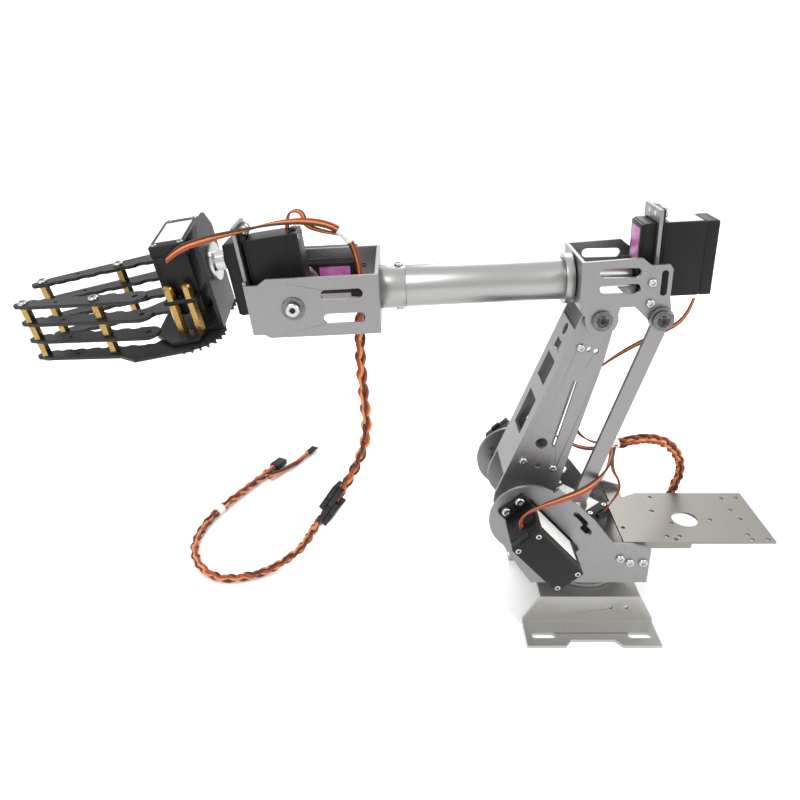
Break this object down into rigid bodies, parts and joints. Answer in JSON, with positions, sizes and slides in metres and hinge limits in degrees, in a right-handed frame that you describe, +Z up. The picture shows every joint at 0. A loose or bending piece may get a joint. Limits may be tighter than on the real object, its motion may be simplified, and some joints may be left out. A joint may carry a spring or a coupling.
{
  "type": "robot arm",
  "caption": "Desktop robot arm: bolted base, turntable turret, parallelogram lower arm, rolling tube forearm, pitching and rolling wrist, geared finger gripper",
  "frame": {"origin": "middle of the four slots of the base, on the table, under the turntable axis", "axes": "+Z up along the turntable axis, +X to the rear of the robot, the arm reaches towards -X"},
  "size_m": [0.4477, 0.2627, 0.2614],
  "materials": {
    "sheet_aluminium": "satin anodised sheet with bright cut edges",
    "tray_metal": "brushed, slightly warm",
    "tube_aluminium": "turned satin",
    "horn_metal": "machined",
    "servo_plastic": "moulded black, blank label",
    "steel": "plated screws and pins",
    "bearing_steel": "polished ring, dark seal",
    "black_plate": "black anodised, satin",
    "brass": "turned hexagon bar",
    "wire": "orange, red and brown three-wire leads",
    "connector_plastic": "black moulding",
    "crimp_tips": "black crimped ends"
  },
  "bodies": {
    "base": {"base_bracket": "sheet_aluminium", "turntable_ring": "tube_aluminium", "yaw_horn": "horn_metal", "base_screws": "steel"},
    "turret": {"turret_frame": "sheet_aluminium", "turntable_race": "tube_aluminium", "yaw_servo": "servo_plastic", "shoulder_servo": "servo_plastic", "elbow_servo": "servo_plastic", "turret_screws": "steel", "electronics_tray": "tray_metal", "tray_socket": "connector_plastic"},
    "lower_arm": {"lower_arm_channel": "sheet_aluminium", "arm_spacers": "steel", "shoulder_horn": "horn_metal", "rear_leads": "wire"},
    "crank": {"elbow_crank": "sheet_aluminium"},
    "rod": {"link_rod": "sheet_aluminium", "crank_pin": "steel"},
    "elbow": {"elbow_bracket": "sheet_aluminium", "tube_bearing": "bearing_steel", "elbow_pins": "steel", "elbow_washers": "steel", "roll_servo_plate": "sheet_aluminium", "roll_servo": "servo_plastic", "elbow_screws": "steel"},
    "forearm": {"roll_spindle": "tube_aluminium", "tube_collar": "tube_aluminium", "forearm_tube": "tube_aluminium", "tube_sleeve": "tube_aluminium", "wrist_bracket": "sheet_aluminium", "wrist_servo": "servo_plastic", "wrist_bearing": "bearing_steel", "forearm_screws": "steel", "cable_clip": "connector_plastic", "free_harness": "wire", "branch_lead": "wire", "harness_plug": "connector_plastic", "branch_tips": "crimp_tips", "inline_connector": "connector_plastic"},
    "wrist": {"hand_cradle": "sheet_aluminium", "wrist_pin": "steel", "wrist_horn": "horn_metal", "hand_roll_servo": "servo_plastic", "cradle_screws": "steel", "front_leads": "wire"},
    "hand": {"gripper_bracket": "black_plate", "hand_roll_horn": "horn_metal", "gripper_servo": "servo_plastic", "gripper_standoffs": "brass", "gear_pin": "steel"},
    "far_finger": {"far_gear_finger": "black_plate", "far_finger_plates": "black_plate", "far_finger_spacers": "brass", "far_finger_screws": "steel", "gripper_horn": "horn_metal"},
    "near_finger": {"near_gear_finger": "black_plate", "near_finger_plates": "black_plate", "near_finger_spacers": "brass", "near_finger_screws": "steel"}
  },
  "joints": [
    {"name": "base_yaw", "type": "hinge", "parent": "base", "child": "turret", "pos_m": [0, 0, 0.03], "axis": [0, 0, 1], "range_deg": [-90, 90]},
    {"name": "shoulder", "type": "hinge", "parent": "turret", "child": "lower_arm", "pos_m": [-0.0455, 0, 0.0845], "axis": [0, 1, 0], "range_deg": [-45, 30], "deforming": ["rear_leads"]},
    {"name": "elbow", "type": "hinge", "parent": "lower_arm", "child": "elbow", "pos_m": [-0.01236, 0, 0.20399], "axis": [0, 1, 0], "range_deg": [-40, 40]},
    {"name": "elbow_crank_turn", "type": "hinge", "parent": "lower_arm", "child": "crank", "pos_m": [-0.0455, 0, 0.0845], "axis": [0, 1, 0], "range_deg": [-40, 40]},
    {"name": "rod_turn", "type": "hinge", "parent": "crank", "child": "rod", "pos_m": [-0.01404, 0, 0.08604], "axis": [0, 1, 0], "range_deg": [-40, 40]},
    {"name": "forearm_roll", "type": "hinge", "parent": "elbow", "child": "forearm", "pos_m": [-0.01324, 0, 0.22197], "axis": [0.9988, 0, 0.0489], "range_deg": [-90, 90], "deforming": ["free_harness", "branch_lead", "harness_plug", "branch_tips", "inline_connector"]},
    {"name": "wrist_pitch", "type": "hinge", "parent": "forearm", "child": "wrist", "pos_m": [-0.17805, 0, 0.21391], "axis": [0, 1, 0], "range_deg": [-60, 50], "deforming": ["front_leads"]},
    {"name": "hand_roll", "type": "hinge", "parent": "wrist", "child": "hand", "pos_m": [-0.1818, 0, 0.23761], "axis": [0.9877, 0, 0.1564], "range_deg": [-90, 90]},
    {"name": "gripper", "type": "hinge", "parent": "hand", "child": "far_finger", "pos_m": [-0.23798, 0.02171, 0.19602], "axis": [-0.1549, -0.1392, 0.9781], "range_deg": [-15, 6]},
    {"name": "gripper_mirror", "type": "hinge", "parent": "hand", "child": "near_finger", "pos_m": [-0.23724, -0.01196, 0.19134], "axis": [-0.1549, -0.1392, 0.9781], "range_deg": [-6, 15]}
  ],
  "couplings": [
    {"joint": "elbow_crank_turn", "follows": "elbow", "ratio": 1},
    {"joint": "rod_turn", "follows": "elbow", "ratio": -1},
    {"joint": "gripper_mirror", "follows": "gripper", "ratio": -1}
  ]
}
